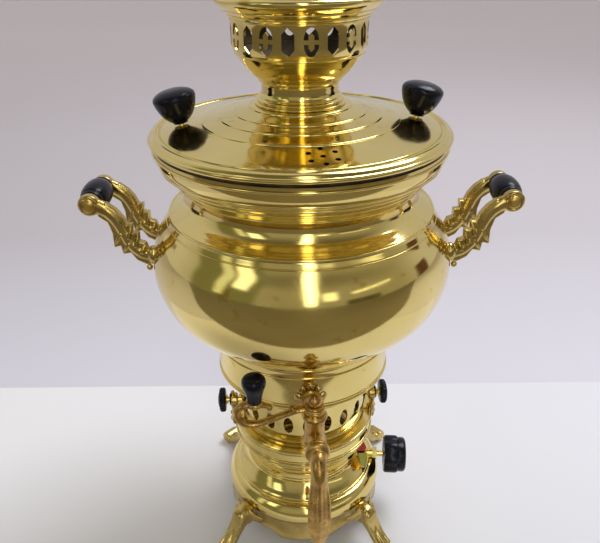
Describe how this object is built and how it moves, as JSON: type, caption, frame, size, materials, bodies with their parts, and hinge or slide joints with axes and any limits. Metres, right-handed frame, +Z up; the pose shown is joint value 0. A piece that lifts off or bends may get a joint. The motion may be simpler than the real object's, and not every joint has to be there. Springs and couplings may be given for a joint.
{
  "type": "samovar",
  "caption": "Brass gas samovar: round water tank over a burner base on legs, with a tap, two handles, lift-off lid and pierced crown for a teapot.",
  "frame": {"origin": "on the upright axis of the urn, at the level of the surface it stands on", "axes": "+Z up; the tap points along -Y, the handles along X, the gas inlet along +Y"},
  "size_m": [0.3266, 0.2812, 0.452],
  "materials": {
    "polished_brass": "polished, lightly tarnished",
    "cast_brass": "cast and polished, darker in the hollows",
    "black_plastic": "glossy black bakelite",
    "burner_iron": "heat-stained cast iron",
    "label_red": "printed foil",
    "label_yellow": "printed foil",
    "seal_rubber": "matt"
  },
  "bodies": {
    "base": {"base_plate": "cast_brass", "leg_front_left": "cast_brass", "leg_front_right": "cast_brass", "leg_rear_left": "cast_brass", "leg_rear_right": "cast_brass", "leg_screws": "polished_brass", "base_bell": "polished_brass", "base_flange": "polished_brass", "clamp_bracket_left": "cast_brass", "clamp_bracket_right": "cast_brass", "burner_head": "burner_iron", "burner_tube": "polished_brass", "gas_jet": "polished_brass", "jet_pipe": "polished_brass", "valve_body": "polished_brass", "valve_gland_nut": "polished_brass", "feed_pipe": "polished_brass", "inlet_tail": "polished_brass", "inlet_nut": "polished_brass", "index_plate_red": "label_red", "index_plate_yellow": "label_yellow"},
    "tank": {"fire_collar": "polished_brass", "tank_skirt": "polished_brass", "tank_floor": "polished_brass", "tank_belly": "polished_brass", "tank_shoulder": "polished_brass", "tank_rim": "polished_brass", "flue_tube": "polished_brass", "tap_rosette": "cast_brass", "tap_body": "cast_brass", "tap_lock_nut": "polished_brass", "tap_seal": "seal_rubber", "handle_arm_left_front": "cast_brass", "handle_arm_left_rear": "cast_brass", "handle_arm_right_front": "cast_brass", "handle_arm_right_rear": "cast_brass", "grip_left": "black_plastic", "grip_right": "black_plastic", "grip_rods": "polished_brass", "grip_nuts": "polished_brass", "handle_rivets": "cast_brass"},
    "tap_key": {"tap_plug": "polished_brass", "tap_lever": "cast_brass", "lever_knob": "black_plastic", "tap_finial": "cast_brass", "plug_nut": "polished_brass"},
    "gas_control": {"valve_spindle": "polished_brass", "valve_knob": "black_plastic"},
    "left_screw": {"clamp_screw_left": "polished_brass"},
    "left_screw_knob": {"clamp_knob_left": "black_plastic"},
    "right_screw": {"clamp_screw_right": "polished_brass"},
    "right_screw_knob": {"clamp_knob_right": "black_plastic"},
    "lid": {"lid_shell": "polished_brass", "lid_knob_left": "black_plastic", "lid_knob_right": "black_plastic", "lid_studs": "polished_brass"},
    "crown": {"crown_foot": "polished_brass", "crown_bowl": "polished_brass", "crown_gallery": "polished_brass"}
  },
  "joints": [
    {"name": "tank_lift", "type": "slide", "parent": "base", "child": "tank", "axis": [0, 0, 1], "range_m": [0, 0.06]},
    {"name": "tap_turn", "type": "hinge", "parent": "tank", "child": "tap_key", "pos_m": [0.00785, -0.09969, 0.19], "axis": [0, 0, 1], "range_deg": [0, 90]},
    {"name": "lid_lift", "type": "slide", "parent": "tank", "child": "lid", "axis": [0, 0, 1], "range_m": [0, 0.06]},
    {"name": "crown_lift", "type": "slide", "parent": "lid", "child": "crown", "axis": [0, 0, 1], "range_m": [0, 0.04]},
    {"name": "gas_turn", "type": "hinge", "parent": "base", "child": "gas_control", "pos_m": [0.07981, -0.00558, 0.057], "axis": [0.9976, -0.0698, 0], "range_deg": [0, 180]},
    {"name": "left_screw_travel", "type": "slide", "parent": "base", "child": "left_screw", "axis": [-0.9976, -0.0698, 0], "range_m": [0, 0.00401]},
    {"name": "left_screw_turn", "type": "hinge", "parent": "left_screw", "child": "left_screw_knob", "pos_m": [-0.06983, -0.00488, 0.122], "axis": [-0.9976, -0.0698, 0], "range_deg": [0, 1440]},
    {"name": "right_screw_travel", "type": "slide", "parent": "base", "child": "right_screw", "axis": [0.9976, 0.0698, 0], "range_m": [0, 0.00401]},
    {"name": "right_screw_turn", "type": "hinge", "parent": "right_screw", "child": "right_screw_knob", "pos_m": [0.06983, 0.00488, 0.122], "axis": [0.9976, 0.0698, 0], "range_deg": [0, 1440]}
  ],
  "couplings": [
    {"joint": "left_screw_travel", "follows": "left_screw_turn", "m_per_rad": 0.00015915},
    {"joint": "right_screw_travel", "follows": "right_screw_turn", "m_per_rad": 0.00015915}
  ]
}
